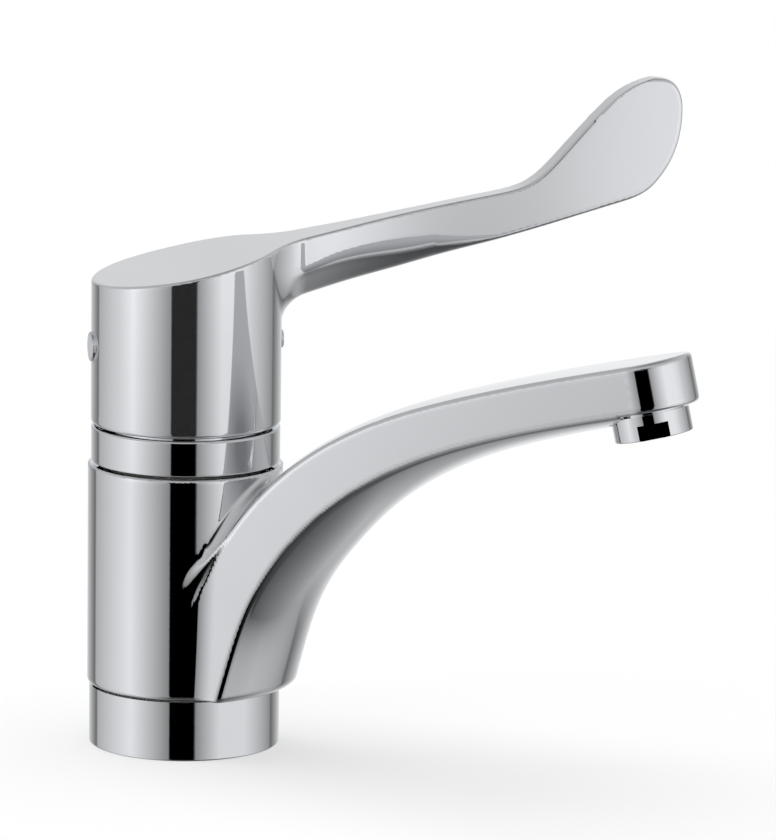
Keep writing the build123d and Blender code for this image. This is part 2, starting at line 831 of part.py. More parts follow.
def make_hinge_pin():
    return cross_bar(hinge_x, hinge_height, hinge_pin_half_length, hinge_pin_radius)


# Stem: the spool that the handle pulls up


def make_cartridge_stem():
    spool_top = spool_bottom + spool_length
    body = disc(spool_radius, spool_bottom, spool_top)
    body = body + disc(rod_radius, spool_top - past, rod_top)
    body = body - disc(spool_bore, spool_bottom - past, spool_bottom + spool_bore_depth)
    body = body - cross_bar(0, spool_port_height, spool_radius + past, spool_port_radius)
    bottom = seal_groove_bottom(cartridge_bore, spool_seal_section)
    for height in spool_seal_heights:
        body = body - groove(bottom, spool_radius, height, spool_seal_section + 2 * soft_gap)
    half = link_pin_radius + seat_gap
    return body - block((-half - link_pin_shift, half), band(0, well_past), band(hinge_height, half))


def make_spool_seals():
    bottom = seal_groove_bottom(cartridge_bore, spool_seal_section)
    return Compound(children=[seal_ring(bottom, cartridge_bore, height) for height in spool_seal_heights])


# Handle and what swings with it


def cap_top_solid(drop):
    """Everything under the cap's sloping top, or under that surface lowered by a drop."""
    span = cap_radius + cap_top_margin
    low = -well_past
    outline = [
        ThreePointArc((-span, cap_back_height), (0, cap_middle_height), (span, cap_front_height)),
        Line((span, cap_front_height), (span, low)),
        Line((span, low), (-span, low)),
        Line((-span, low), (-span, cap_back_height)),
    ]
    return Pos(0, 0, cap_low - drop) * extrude(Plane.XZ * make_face(outline), amount=span, both=True)


def lever_section(index):
    """One section of the lever square to X: flat top and sides, drawn in below to a narrow keel."""
    top = lever_top_height[index]
    side = lever_side_height[index]
    keel = lever_keel_height[index]
    half = lever_half_width[index]
    keel_half = keel_half_width[index]
    corners = [(-half, side), (-keel_half, keel), (keel_half, keel), (half, side), (half, top), (-half, top)]
    plane = Plane(origin=(lever_station_reach[index], 0, cap_low), x_dir=(0, 1, 0), z_dir=(1, 0, 0))
    return plane * make_face(Polyline(*corners, close=True))


def make_paddle():
    outline = [
        Line(paddle_root_low, paddle_heel),
        ThreePointArc(paddle_heel, paddle_front, paddle_tip),
        ThreePointArc(paddle_tip, paddle_tip_shoulder, paddle_crest),
        ThreePointArc(paddle_crest, paddle_crest_shoulder, paddle_back_high),
        Line(paddle_back_high, paddle_back_low),
        ThreePointArc(paddle_back_low, paddle_hollow, paddle_root_high),
        Line(paddle_root_high, paddle_root_low),
    ]
    blade = extrude(Plane.XZ * make_face(outline), amount=paddle_root_half_width, both=True)
    plan = Polyline(
        (paddle_root_low[0], paddle_root_half_width),
        (paddle_back_low[0], paddle_root_half_width),
        (paddle_tip[0], paddle_tip_half_width),
        (paddle_tip[0], -paddle_tip_half_width),
        (paddle_back_low[0], -paddle_root_half_width),
        (paddle_root_low[0], -paddle_root_half_width),
        close=True,
    )
    return Pos(0, 0, cap_low) * (blade & extrude(make_face(plan), amount=well_past))


def grub_hole(side, height, plug_radius):
    """The threaded hole and the plug's counterbore, through the cap's wall on one side."""
    hole = bar((0, 0, height), (side * well_past, 0, height), grub_radius + running_gap)
    seat = cap_radius - plug_depth
    counterbore = bar((side * seat, 0, height), (side * well_past, 0, height), plug_radius + running_gap)
    return hole + counterbore


def make_handle():
    body = disc(cap_radius, cap_low, well_past) & cap_top_solid(0)
    body = fillet(body.edges().sort_by(Axis.Z)[0], cap_edge_round)
    body = body + loft([lever_section(index) for index in range(len(lever_station_reach))], ruled=True)
    body = body + make_paddle()
    body = body - (disc(cap_bore, cap_low - past, well_past) & cap_top_solid(cap_roof))
    body = body - grub_hole(-1, rear_plug_height, rear_plug_radius)
    body = body - grub_hole(1, front_plug_height, front_plug_radius)
    pocket_half = lug_half_width + moving_gap
    pocket_top = hinge_height + math.hypot(lug_radius, lug_radius) + moving_gap
    pocket = block((-well_past, 0), band(0, pocket_half), (0, pocket_top))
    pocket_depth = math.hypot(hinge_distance + lug_radius, lug_half_width) + moving_gap
    body = body - (pocket & disc(pocket_depth, 0, well_past))
    notch_half = hinge_pin_half_length + moving_gap
    notch_radius = hinge_pin_radius + seat_gap
    body = body - cross_bar(hinge_x, hinge_height, notch_half, notch_radius)
    return body - block(band(hinge_x, notch_radius), band(0, notch_half), (cap_low - past, hinge_height))


def make_handle_yoke():
    body = disc(yoke_radius, yoke_bottom, yoke_top)
    for angle in yoke_window_angles:
        x = yoke_window_circle * math.cos(math.radians(angle))
        y = yoke_window_circle * math.sin(math.radians(angle))
        body = body - bar((x, y, yoke_bottom - past), (x, y, yoke_top + past), yoke_window_radius)
    low = hinge_height - cheek_below_pin
    for side in (1, -1):
        y_range = sorted((side * cheek_inner, side * cheek_outer))
        body = body + block((-cheek_back, cheek_front), y_range, (low, yoke_bottom))
    body = body - cross_bar(0, hinge_height, well_past, link_pin_radius + press_gap)
    for side, height in ((-1, rear_plug_height), (1, front_plug_height)):
        start = side * (cap_bore - grub_bite)
        body = body - bar((start, 0, height), (side * well_past, 0, height), grub_radius + running_gap)
    return body


def make_link_pin():
    return cross_bar(0, hinge_height, link_pin_half_length, link_pin_radius)


def make_grub_screw(side, height):
    inner = cap_bore - grub_bite
    outer = cap_radius - plug_depth - running_gap
    body = bar((side * inner, 0, height), (side * outer, 0, height), grub_radius)
    socket_plane = Plane(origin=(side * outer, 0, height), x_dir=(0, 1, 0), z_dir=(-side, 0, 0))
    socket = extrude(socket_plane * RegularPolygon(grub_socket_radius, 6), amount=grub_socket_depth)
    return body - socket


def make_plug(side, height, radius):
    inner = cap_radius - plug_depth
    outer = cap_radius + plug_proud
    body = bar((side * inner, 0, height), (side * outer, 0, height), radius)
    rim = body.edges().sort_by(Axis.X)[-1 if side > 0 else 0]
    return fillet(rim, plug_round)


nodes = {
    "base_ring": make_base_ring(),
    "base_gasket": make_base_gasket(),
    "valve_body": make_valve_body(),
    "thrust_washer": make_thrust_washer(),
    "lower_bearing_ring": make_bearing_ring(lower_bearing_height),
    "upper_bearing_ring": make_bearing_ring(upper_bearing_height),
    "lower_spout_seal": make_spout_seal(lower_seal_height),
    "upper_spout_seal": make_spout_seal(upper_seal_height),
    "spout_circlip": make_circlip(),
    "carrier_washer": make_carrier_washer(),
    "retaining_nut": make_retaining_nut(),
    "swivel_stop_pin": make_swivel_stop_pin(),
    "cartridge_sleeve": make_cartridge_sleeve(),
    "port_seals": make_port_seals(),
    "cartridge_seals": make_cartridge_seals(),
    "cartridge_cap": make_cartridge_cap(),
    "stem_seal": make_stem_seal(),
    "retaining_clip": make_retaining_clip(),
    "spout": make_spout(),
    "aerator_housing": make_aerator_housing(),
    "aerator_insert": make_aerator_insert(),
    "aerator_mesh": make_aerator_mesh(),
    "aerator_washer": make_aerator_washer(),
    "collar_ring": make_collar_ring(),
    "dome": make_dome(),
    "hinge_pin": make_hinge_pin(),
    "cartridge_stem": make_cartridge_stem(),
    "spool_seals": make_spool_seals(),
    "handle": make_handle(),
    "handle_yoke": make_handle_yoke(),
    "link_pin": make_link_pin(),
    "rear_grub_screw": make_grub_screw(-1, rear_plug_height),
    "front_grub_screw": make_grub_screw(1, front_plug_height),
    "rear_plug": make_plug(-1, rear_plug_height, rear_plug_radius),
    "front_plug": make_plug(1, front_plug_height, front_plug_radius),
}

os.makedirs("parts", exist_ok=True)
for name, shape in nodes.items():
    export_step(shape, f"parts/{name}.step")
print("stem travel", round(lift_travel, 3), "mm for", lift_angle, "degrees")
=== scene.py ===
import math

import bpy
import numpy as np
from mathutils import Matrix, Vector


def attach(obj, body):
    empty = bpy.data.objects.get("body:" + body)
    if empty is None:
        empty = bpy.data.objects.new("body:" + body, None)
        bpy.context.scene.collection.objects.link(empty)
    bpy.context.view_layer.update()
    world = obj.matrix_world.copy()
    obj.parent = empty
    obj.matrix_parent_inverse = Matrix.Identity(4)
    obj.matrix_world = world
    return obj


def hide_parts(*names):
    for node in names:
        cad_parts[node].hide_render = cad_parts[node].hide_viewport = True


# Kitchen mixer tap. The spout and the handle are cast shapes whose faces run into each other through
# soft fillets, so both are built here as closed meshes on the zero surface of a distance field, in
# millimetres, and then scaled to metres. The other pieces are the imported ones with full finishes.

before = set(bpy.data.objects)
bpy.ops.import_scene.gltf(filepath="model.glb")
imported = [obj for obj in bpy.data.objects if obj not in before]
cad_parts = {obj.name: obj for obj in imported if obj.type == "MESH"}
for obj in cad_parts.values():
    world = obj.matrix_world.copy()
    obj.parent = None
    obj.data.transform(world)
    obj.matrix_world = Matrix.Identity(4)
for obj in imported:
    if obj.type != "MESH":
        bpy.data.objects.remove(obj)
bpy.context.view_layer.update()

MM = 0.001


# Fields: negative inside, close to the distance in millimetres


def rounded_max(a, b, radius):
    """What two shapes share, with their common edge rounded."""
    u = np.maximum(a + radius, 0)
    v = np.maximum(b + radius, 0)
    return np.minimum(np.maximum(a, b), -radius) + np.sqrt(u * u + v * v)


def rounded_min(a, b, radius):
    """Two shapes joined, with a fillet in the corner between them."""
    u = np.maximum(radius - a, 0)
    v = np.maximum(radius - b, 0)
    return np.maximum(np.minimum(a, b), radius) - np.sqrt(u * u + v * v)


def fillet(a, b, cosine, radius):
    """Two shapes joined, with a fillet of that radius where their slopes meet at any angle."""
    u = radius - a
    v = radius - b
    reach = np.sqrt(np.maximum(u * u + v * v - 2 * u * v * cosine, 0) / np.maximum(1 - cosine * cosine, 0.03))
    return np.where((u > v * cosine) & (v > u * cosine), radius - reach, np.minimum(a, b))


def cut(body, hole):
    """A shape less a hole."""
    return np.maximum(body, -hole)


def spline(points, spacing):
    """A smooth curve through points (a natural cubic spline), as evenly spaced places along it."""
    points = np.array(points, float)
    gaps = np.linalg.norm(np.diff(points, axis=0), axis=1)
    knots = np.concatenate(([0.0], np.cumsum(gaps)))
    count = len(points)
    system = np.eye(count)
    right = np.zeros_like(points)
    for i in range(1, count - 1):
        system[i, i - 1 : i + 2] = gaps[i - 1], 2 * (gaps[i - 1] + gaps[i]), gaps[i]
        right[i] = 6 * ((points[i + 1] - points[i]) / gaps[i] - (points[i] - points[i - 1]) / gaps[i - 1])
    bend = np.linalg.solve(system, right)
    places = np.linspace(0, knots[-1], int(knots[-1] / spacing) + 1)
    part = np.clip(np.searchsorted(knots, places, side="right") - 1, 0, count - 2)
    gap = gaps[part][:, None]
    after = (places - knots[part])[:, None]
    before = gap - after
    return (
        bend[part] * before**3 / (6 * gap)
        + bend[part + 1] * after**3 / (6 * gap)
        + (points[part] / gap - bend[part] * gap / 6) * before
        + (points[part + 1] / gap - bend[part + 1] * gap / 6) * after
    )


class Graph:
    """A smooth graph through points, read at any place."""

    def __init__(self, *points):
        line = spline(points, 0.2)
        self.places, self.values = line[:, 0], line[:, 1]

    def __call__(self, place):
        return np.interp(place, self.places, self.values)


class Track:
    """A curve in a plane, with how far along it and how far to its left any place of the plane lies."""

    def __init__(self, points, low, high, lead=60.0, step=0.1):
        line = spline(points, step)
        ways = np.gradient(line, axis=0)
        ways /= np.linalg.norm(ways, axis=1)[:, None]
        run = np.arange(step, lead, step)[:, None]
        self.line = np.concatenate((line[0] - run[::-1] * ways[0], line, line[-1] + run * ways[-1]))
        gaps = np.linalg.norm(np.diff(self.line, axis=0), axis=1)
        self.lengths = np.concatenate(([0.0], np.cumsum(gaps)))
        self.ways = np.gradient(self.line, axis=0)
        self.ways /= np.linalg.norm(self.ways, axis=1)[:, None]
        self.lengths -= self.lengths[len(run)]
        self.low = np.array(low, float)
        u, v = np.meshgrid(*(np.arange(a, b, 1.0) for a, b in zip(low, high)), indexing="ij")
        self.guess = np.empty(u.shape)
        for i in range(len(u)):
            away = np.hypot(u[i][:, None] - self.line[:, 0], v[i][:, None] - self.line[:, 1])
            near = away.argmin(axis=1)
            off_u = u[i] - self.line[near, 0]
            off_v = v[i] - self.line[near, 1]
            self.guess[i] = self.lengths[near] + off_u * self.ways[near, 0] + off_v * self.ways[near, 1]

    def __call__(self, u, v):
        """(along, left) at places, from a coarse table's guess and three steps closer on the curve."""
        i = np.clip((u - self.low[0]), 0, self.guess.shape[0] - 1.001)
        j = np.clip((v - self.low[1]), 0, self.guess.shape[1] - 1.001)
        k, m = i.astype(int), j.astype(int)
        i, j = i - k, j - m
        along = (self.guess[k, m] * (1 - i) + self.guess[k + 1, m] * i) * (1 - j)
        along = along + (self.guess[k, m + 1] * (1 - i) + self.guess[k + 1, m + 1] * i) * j
        for _ in range(3):
            off_u = u - np.interp(along, self.lengths, self.line[:, 0])
            off_v = v - np.interp(along, self.lengths, self.line[:, 1])
            way_u = np.interp(along, self.lengths, self.ways[:, 0])
            way_v = np.interp(along, self.lengths, self.ways[:, 1])
            along = along + np.clip(off_u * way_u + off_v * way_v, -0.5, 0.5)
        return along, off_v * way_u - off_u * way_v


# Spout: sizes in its own frame, x out along the arm

SLEEVE_RADIUS = 28.1
SLEEVE_LOW = 17.75
SLEEVE_TOP = 82.05
ARM_STATIONS = (
    # out, up, depth, how far the top and the belly bulge, half width
    (20.4, 6.5, 16.5, 4.0, 8.0, 22.5),
    (23.6, 17.7, 16.5, 4.0, 7.9, 22.3),
    (27.2, 30.4, 16.5, 4.0, 7.9, 22.0),
    (31.9, 43.9, 16.5, 3.9, 7.9, 21.7),
    (38.5, 56.3, 16.5, 3.7, 8.1, 21.2),
    (47.4, 67.9, 16.4, 3.2, 8.3, 20.6),
    (60.8, 80.0, 15.9, 2.3, 7.2, 19.6),
    (77.6, 90.4, 14.8, 1.4, 5.8, 18.5),
    (97.4, 98.7, 13.7, 0.9, 4.5, 17.1),
    (121.2, 105.9, 13.3, 0.5, 3.7, 15.5),
    (145.2, 111.7, 13.4, 0.4, 3.1, 13.83),
)
TOP_ROUND = 1.2
BELLY_ROUND = 1.2
NOSE_RADIUS = 13.6
NOSE_AHEAD = 3.29
NOSE_TAPER = math.radians(3.9)
BELLY_END_EDGE = 0.5
FILLET = (3.0, 9.5)
FILLET_TURN = 0.4
FILLET_FIELD = 14
SLEEVE_EDGE = 0.5
SLEEVE_LOW_EDGE = 1.3
ARM_EDGE_EXTRA = 1.2
ARM_EDGE_START = 24
ARM_EDGE_LENGTH = 8
SLEEVE_BORE = 21.0
CHAMBER_RADIUS = 24.2
CHAMBER_MIDDLE = 50
CHAMBER_HALF_HEIGHT = 14
UPPER_SEAT_RADIUS = 23.5
UPPER_SEAT_DEPTH = 1.4
STOP_GROOVE_RADIUS = 22.9
STOP_GROOVE_HEIGHT = 21.0
STOP_GROOVE_HALF = 1.8
STOP_GROOVE_SIDES = (0.94, 0.34)
OUTLET_HOLES = ((11.3, 6.9), (9.95, 12.6), (6.8, 19.7))
OUTLET = (149.4, 104.8)
OUTLET_TILT = math.radians(13.4)

arm_line = Track([station[:2] for station in ARM_STATIONS], (-30, 3), (170, 131))
arm_places = [float(arm_line(np.array(station[0]), np.array(station[1]))[0]) for station in ARM_STATIONS]
arm_length = arm_places[-1]
nose_place = arm_length + NOSE_AHEAD


def arm_graph(column, end):
    """One of the station values as a graph along the arm, level before the first station."""
    values = [station[column] for station in ARM_STATIONS]
    return Graph((-60, values[0]), *zip(arm_places, values), (nose_place + 25, end))


arm_depth = arm_graph(2, 13.4)
arm_crown = arm_graph(3, 0.3)
arm_belly = arm_graph(4, 2.6)
arm_half = arm_graph(5, NOSE_RADIUS - 25 * math.tan(NOSE_TAPER))


def arm_field(x, y, z):
    along, up = arm_line(x, z)
    across = np.abs(y)
    ahead = along - nose_place
    half = arm_half(along)
    tip = np.hypot(ahead, across) - NOSE_RADIUS
    round_end = ahead * math.cos(NOSE_TAPER) > across * math.sin(NOSE_TAPER)
    side = np.where(round_end, tip, (across - half) * math.cos(NOSE_TAPER))
    top = up - arm_depth(along) - arm_crown(along) * (1 - np.minimum(across / half, 1) ** 2)
    bulge = arm_belly(along)
    radius = (half * half + bulge * bulge) / (2 * bulge)
    belly = np.hypot(across, up - radius + bulge) - radius
    below = np.minimum(-up, rounded_max(belly, along - arm_length, BELLY_END_EDGE))
    return rounded_max(rounded_max(side, below, BELLY_ROUND), top, TOP_ROUND)


def with_sleeve(x, y, z):
    """The sleeve and the arm joined, with a wide fillet down the arm's sides and a small one over it."""
    x, y, z = np.broadcast_arrays(x, y, z)
    radial = np.hypot(x, y)
    sleeve = rounded_max(radial - SLEEVE_RADIUS, z - SLEEVE_TOP, SLEEVE_EDGE)
    arm = arm_field(x, y, z)
    body = np.minimum(sleeve, arm)
    near = (np.abs(sleeve) < FILLET_FIELD) & (np.abs(arm) < FILLET_FIELD) & (x > 0)
    x, y, z, radial = x[near], y[near], z[near], radial[near]
    here = arm[near]
    step = 0.4
    slopes = [
        arm_field(x + step, y, z) - here,
        arm_field(x, y + step, z) - here,
        arm_field(x, y, z + step) - here,
    ]
    length = np.sqrt(sum(slope * slope for slope in slopes))
    cosine = (slopes[0] * x + slopes[1] * y) / (radial * np.maximum(length, 1e-6))
    share = np.clip((cosine + FILLET_TURN) / (2 * FILLET_TURN), 0, 1)
    radius = FILLET[0] + (FILLET[1] - FILLET[0]) * share * share * (3 - 2 * share)
    body[near] = fillet(sleeve[near], here, cosine, radius)
    return body


def round_hole(radial, radius, depth, top):
    """A round hole that ends at a top."""
    return np.maximum(radial - radius, depth - top)


def spout_field(x, y, z):
    radial = np.hypot(x, y)
    body = with_sleeve(x, y, z)
    edge = SLEEVE_LOW_EDGE + np.clip((x - ARM_EDGE_START) / ARM_EDGE_LENGTH, 0, 1) * ARM_EDGE_EXTRA
    body = rounded_max(body, SLEEVE_LOW - z, edge)
    body = cut(body, radial - SLEEVE_BORE)
    body = cut(body, np.maximum(radial - CHAMBER_RADIUS, np.abs(z - CHAMBER_MIDDLE) - CHAMBER_HALF_HEIGHT))
    body = cut(body, np.maximum(radial - UPPER_SEAT_RADIUS, SLEEVE_TOP - UPPER_SEAT_DEPTH - z))
    groove = np.maximum(radial - STOP_GROOVE_RADIUS, np.abs(z - STOP_GROOVE_HEIGHT) - STOP_GROOVE_HALF)
    groove = np.maximum(groove, x * STOP_GROOVE_SIDES[0] - np.abs(y) * STOP_GROOVE_SIDES[1])
    body = cut(body, groove)
    forward = (x - OUTLET[0]) * math.cos(OUTLET_TILT) + (z - OUTLET[1]) * math.sin(OUTLET_TILT)
    rise = (z - OUTLET[1]) * math.cos(OUTLET_TILT) - (x - OUTLET[0]) * math.sin(OUTLET_TILT)
    around = np.hypot(forward, y)
    for radius, top in OUTLET_HOLES:
        body = cut(body, round_hole(around, radius, rise, top))
    return body


# Handle: cap and lever in one casting, x out along the lever

CAP_RADIUS = 27.3
CAP_LOW = 93.75
LEVER_TOP = (
    (-40, 132.7),
    (-27.3, 135.2),
    (0, 140.3),
    (17, 144.2),
    (31.6, 147.4),
    (44.4, 149.9),
    (57.3, 152.5),
    (70.3, 155.0),
    (83.5, 157.4),
    (92.4, 159.0),
    (97.0, 160.2),
    (101.2, 162.3),
    (105.6, 166.0),
    (110.0, 170.7),
    (118.7, 180.0),
    (123.0, 184.2),
    (127.4, 187.6),
    (131.8, 189.8),
    (136.2, 191.2),
)
LEVER_KEEL = (
    (-10, 117.4),
    (20, 126.6),
    (34.1, 130.5),
    (47.3, 134.2),
    (60.5, 137.5),
    (73.7, 141.0),
    (86.9, 144.4),
    (100.1, 147.8),
    (113.0, 151.4),
    (126.4, 155.1),
    (131.2, 156.6),
    (135.3, 158.9),
    (138.7, 162.5),
    (141.7, 167.1),
    (144.1, 174.0),
    (144.9, 180.5),
    (144.3, 186.0),
    (141.6, 190.0),
    (136.2, 191.2),
)
HEEL_FILLET = 7.0
TOP_EDGE = 0.6
LOW_EDGE = 1.2
PADDLE_START = 118
FACET_FADE_START = 72
FACET_FADE_LENGTH = 36
FACET_FADE_DEPTH = 2.4
LEVER_START = 5
LEVER_EDGE = 1.0
CAP_INSIDE_RADIUS = 24.3
CAP_ROOF = 3.2
PLUG_SEAT = 25.9
SCREW_SEAT = 20.0
SCREW_HOLE_RADIUS = 2.0
PLUG_HOLES = ((-1, 116.4, 4.35), (1, 117.4, 2.8))
HINGE_OUT = 24.2
HINGE_UP = 95.8
HINGE_RADIUS = 1.3
HINGE_HALF_LENGTH = 6.8
POCKET_HALF_WIDTH = 3.3
POCKET_TOP = 98.65
POCKET_REACH = 26.47

lever_top = Track(LEVER_TOP, (-40, 88), (156, 198))
lever_keel = Track(LEVER_KEEL, (-40, 88), (156, 198))
lever_half = Graph(
    *((-10, 10), (17, 9.6), (32, 8.2), (44, 6.2), (60, 4.3)),
    *((80, 3.8), (101, 4.0), (111, 4.0), (145, 2.6)),
)
side_low = Graph(
    *((-10, 122), (17, 132.5), (32, 137.4), (44, 141.0)),
    *((60, 143.8), (80, 145.6), (101, 148.4), (150, 158)),
)
keel_half = Graph(
    *((-10, 5), (17, 4.0), (32, 3.0), (44, 2.2), (60, 1.8)),
    *((80, 2.2), (101, 3.4), (120, 4.4), (150, 5)),
)
keel_height = Graph(*LEVER_KEEL[:10], (150, 161.5))


def lever_field(x, y, z):
    across = np.abs(y)
    half = lever_half(x)
    keel = keel_height(x)
    lean = np.maximum(half - keel_half(x), 0) / np.maximum(side_low(x) - keel, 1.0)
    slant = (across - keel_half(x) - (z - keel) * lean) / np.sqrt(1 + lean * lean)
    slant = slant - FACET_FADE_DEPTH * np.clip((x - FACET_FADE_START) / FACET_FADE_LENGTH, 0, 1)
    sides = rounded_max(across - half, slant, LEVER_EDGE)
    return np.maximum(rounded_max(sides, -lever_keel(x, z)[1], LEVER_EDGE), LEVER_START - x)


def handle_field(x, y, z):
    radial = np.hypot(x, y)
    top = lever_top(x, z)[1]
    body = rounded_min(radial - CAP_RADIUS, lever_field(x, y, z), HEEL_FILLET)
    body = np.where(x < PADDLE_START, rounded_max(body, top, TOP_EDGE), np.maximum(body, top))
    body = rounded_max(body, CAP_LOW - z, LOW_EDGE)
    body = cut(body, np.maximum(radial - CAP_INSIDE_RADIUS, top + CAP_ROOF))
    for side, height, radius in PLUG_HOLES:
        around = np.hypot(y, z - height)
        body = cut(body, np.maximum(around - radius, PLUG_SEAT - x * side))
        body = cut(body, np.maximum(around - SCREW_HOLE_RADIUS, SCREW_SEAT - x * side))
    pocket = np.maximum(np.abs(y) - POCKET_HALF_WIDTH, z - POCKET_TOP)
    pocket = np.maximum(pocket, np.maximum(x, radial - POCKET_REACH))
    out = x + HINGE_OUT
    rise = z - HINGE_UP
    notch = np.minimum(np.hypot(out, rise), np.maximum(np.abs(out), rise)) - HINGE_RADIUS
    notch = np.maximum(notch, np.abs(y) - HINGE_HALF_LENGTH)
    return cut(cut(body, pocket), notch)


# From a field to a mesh

BLOCK = 4
BLOCK_MARGIN = 1.3
BATCH = 4000
SLOPE_REACH = 0.05
LEAST_SLOPE = 0.3
LONGEST_MOVE = 0.4
NORMAL_REACH = 0.8


def surface_net(field, low, high, step):
    """Corner places and four-sided faces on the surface where a field is zero."""
    blocks = [math.ceil((b - a) / step / BLOCK) for a, b in zip(low, high)]
    axes = [a + step * np.arange(n * BLOCK) for a, n in zip(low, blocks)]
    middles = np.meshgrid(*(axis[::BLOCK] + step * (BLOCK - 1) / 2 for axis in axes), indexing="ij")
    rough = field(*middles)
    value = np.kron(rough, np.ones((BLOCK, BLOCK, BLOCK), np.float32))
    places = np.argwhere(np.abs(rough) < BLOCK_MARGIN * step * BLOCK)
    offsets = np.indices((BLOCK, BLOCK, BLOCK)).reshape(3, 1, -1)
    for start in range(0, len(places), BATCH):
        index = places[start : start + BATCH].T[:, :, None] * BLOCK + offsets
        value[tuple(index)] = field(*(axis[i] for axis, i in zip(axes, index)))
    inside = value < 0
    size = np.array(value.shape) - 1
    corners = [(i, j, k) for i in (0, 1) for j in (0, 1) for k in (0, 1)]

    def shifted(grid, corner):
        return grid[tuple(slice(c, c + n) for c, n in zip(corner, size))]

    count = sum(shifted(inside, corner).astype(np.int8) for corner in corners)
    cells = np.argwhere((count > 0) & (count < 8))
    number = np.full(size, -1, np.int64)
    number[tuple(cells.T)] = np.arange(len(cells))
    total = np.zeros((len(cells), 3))
    found = np.zeros(len(cells))
    for corner in corners:
        for axis in range(3):
            if corner[axis]:
                continue
            first = cells + corner
            second = first.copy()
            second[:, axis] += 1
            a = value[tuple(first.T)]
            b = value[tuple(second.T)]
            crossed = (a < 0) != (b < 0)
            share = np.where(crossed, a / np.where(crossed, a - b, 1), 0)
            place = first.astype(float)
            place[:, axis] += share
            total += place * crossed[:, None]
            found += crossed
    points = total / found[:, None] * step + [axis[0] for axis in axes]
    faces = []
    for axis in range(3):
        a, b = [other for other in range(3) if other != axis]
        if axis == 1:
            a, b = b, a
        one = [slice(None)] * 3
        two = [slice(None)] * 3
        one[axis], two[axis] = slice(0, -1), slice(1, None)
        starts, ends = inside[tuple(one)], inside[tuple(two)]
        for outwards in (True, False):
            edges = np.argwhere(starts & ~ends if outwards else ~starts & ends)
            within_a = (edges[:, a] > 0) & (edges[:, a] < size[a])
            within_b = (edges[:, b] > 0) & (edges[:, b] < size[b])
            edges = edges[within_a & within_b]
            ring = []
            for back_a, back_b in ((1, 1), (0, 1), (0, 0), (1, 0)):
                cell = edges.copy()
                cell[:, a] -= back_a
                cell[:, b] -= back_b
                ring.append(number[tuple(cell.T)])
            faces.append(np.stack(ring if outwards else ring[::-1], axis=1))
    return points, np.concatenate(faces)


def slope(field, points, reach):
    """The field's values and gradients at points."""
    x, y, z = points.T
    sides = [
        field(*((points + shift).T)) - field(*((points - shift).T))
        for shift in (np.array([reach, 0, 0]), np.array([0, reach, 0]), np.array([0, 0, reach]))
    ]
    return field(x, y, z), np.stack(sides, axis=1) / (2 * reach)


def cast_piece(name, field, low, high, step, turn, finish):
    """A piece on a field's surface, turned about the upright axis, with the field's own normals."""
    points, faces = surface_net(field, low, high, step)
    for _ in range(3):
        value, way = slope(field, points, SLOPE_REACH)
        move = value[:, None] * way / np.maximum((way * way).sum(axis=1), LEAST_SLOPE)[:, None]
        length = np.linalg.norm(move, axis=1)[:, None]
        points = points - move * np.minimum(1, LONGEST_MOVE * step / np.maximum(length, 1e-9))
    way = slope(field, points, NORMAL_REACH * step)[1]
    way /= np.maximum(np.linalg.norm(way, axis=1), 1e-9)[:, None]
    turning = np.array(Matrix.Rotation(turn, 3, "Z"))
    points = points @ turning.T * MM
    way = way @ turning.T
    mesh = bpy.data.meshes.new(name)
    mesh.from_pydata(points.tolist(), [], faces.tolist())
    mesh.validate()
    mesh.polygons.foreach_set("use_smooth", [True] * len(mesh.polygons))
    mesh.normals_split_custom_set_from_vertices(way.tolist())
    mesh.materials.append(finish)
    piece = bpy.data.objects.new(name, mesh)
    bpy.context.collection.objects.link(piece)
    return piece


# Finishes

BROAD_GRAIN = 28
BROAD_TINT = 0.94
RELIEF_DEPTH = 0.0001


def new_finish(name, color, metallic, roughness, spread, grain, bump, coat=0.0):
    """A finish with a fine grain of roughness and relief, and a broader, fainter change of colour."""
    material = bpy.data.materials.new(name)
    material.use_nodes = True
    tree = material.node_tree
    shader = tree.nodes["Principled BSDF"]
    place = tree.nodes.new("ShaderNodeTexCoord")
    fine = tree.nodes.new("ShaderNodeTexNoise")
    fine.inputs["Scale"].default_value = grain
    fine.inputs["Detail"].default_value = 4
    broad = tree.nodes.new("ShaderNodeTexNoise")
    broad.inputs["Scale"].default_value = BROAD_GRAIN
    broad.inputs["Detail"].default_value = 3
    rough = tree.nodes.new("ShaderNodeMapRange")
    rough.inputs["To Min"].default_value = roughness
    rough.inputs["To Max"].default_value = roughness + spread
    tint = tree.nodes.new("ShaderNodeMix")
    tint.data_type = "RGBA"
    tint.inputs["A"].default_value = (*color, 1)
    tint.inputs["B"].default_value = (*(BROAD_TINT * c for c in color), 1)
    relief = tree.nodes.new("ShaderNodeBump")
    relief.inputs["Strength"].default_value = bump
    relief.inputs["Distance"].default_value = RELIEF_DEPTH
    link = tree.links.new
    for noise in (fine, broad):
        link(place.outputs["Object"], noise.inputs["Vector"])
    link(fine.outputs["Fac"], rough.inputs["Value"])
    link(rough.outputs["Result"], shader.inputs["Roughness"])
    link(broad.outputs["Fac"], tint.inputs["Factor"])
    link(tint.outputs["Result"], shader.inputs["Base Color"])
    link(fine.outputs["Fac"], relief.inputs["Height"])
    link(relief.outputs["Normal"], shader.inputs["Normal"])
    shader.inputs["Metallic"].default_value = metallic
    shader.inputs["Coat Weight"].default_value = coat
    return material


